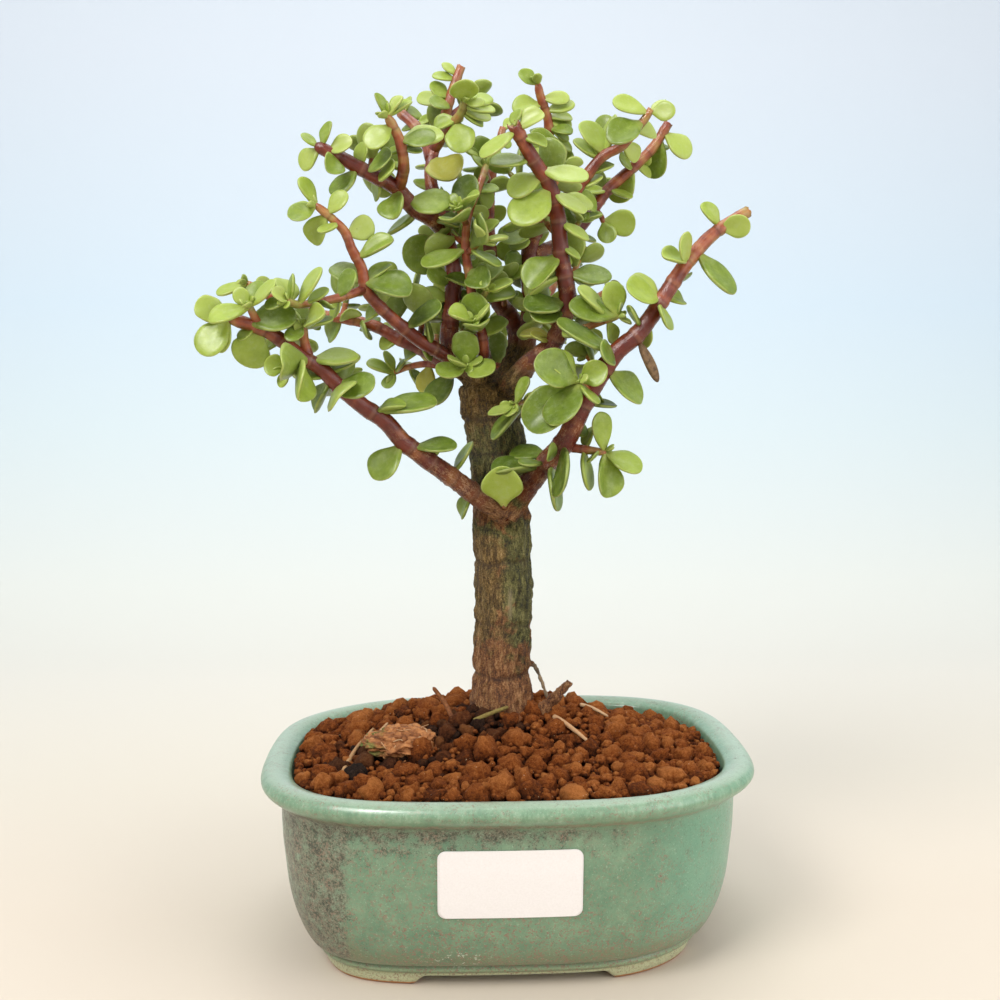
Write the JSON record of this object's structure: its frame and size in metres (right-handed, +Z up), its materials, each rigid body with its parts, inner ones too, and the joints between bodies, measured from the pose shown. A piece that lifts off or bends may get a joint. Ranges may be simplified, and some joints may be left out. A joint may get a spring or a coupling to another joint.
{
  "type": "potted bonsai tree",
  "caption": "Small bonsai of dwarf jade: a stout trunk carries forking stems with fleshy rounded leaves, in a footed glazed pot filled with clay grains, with a blank label.",
  "frame": {"origin": "bottom centre of the box round the whole part, in the plane the pot's feet stand on; the pot's own middle lies 8.5 mm towards +X and 5.6 mm towards -Y of it, because the crown leans to -X and +Y", "axes": "+Z is up along the trunk, +X runs along the pot's long side to the viewer's right, and the front with the label faces -Y"},
  "size_m": [0.1768, 0.1424, 0.2858],
  "materials": {
    "glaze": "glossy speckled stoneware glaze",
    "screen": "matte",
    "label": "satin paper",
    "akadama": "rough baked clay",
    "bark": "rough fibrous bark",
    "leaf": "waxy, softly glossy",
    "litter": "dry"
  },
  "bodies": {
    "root": {"pot": "glaze", "drain_screen_left": "screen", "drain_screen_right": "screen", "label": "label", "soil": "akadama", "root_pale_long": "litter", "root_pale_short": "litter", "twig_green": "litter", "twig_red": "litter", "stalk_left": "litter", "stalk_right": "litter", "bark_chip": "litter", "fibre_clump": "litter", "trunk": "bark", "tuft_left": "leaf", "tuft_right": "leaf", "branch_low_left": "leaf", "branch_low_right": "leaf", "branch_front_shoot": "leaf", "branch_front_right": "leaf", "branch_mid_left": "leaf", "branch_upright": "leaf", "branch_right": "leaf", "branch_centre_back": "leaf", "branch_behind_left": "leaf", "branch_short_left": "leaf", "branch_back_left": "leaf", "branch_back_right": "leaf", "branch_back_middle": "leaf"}
  },
  "joints": []
}
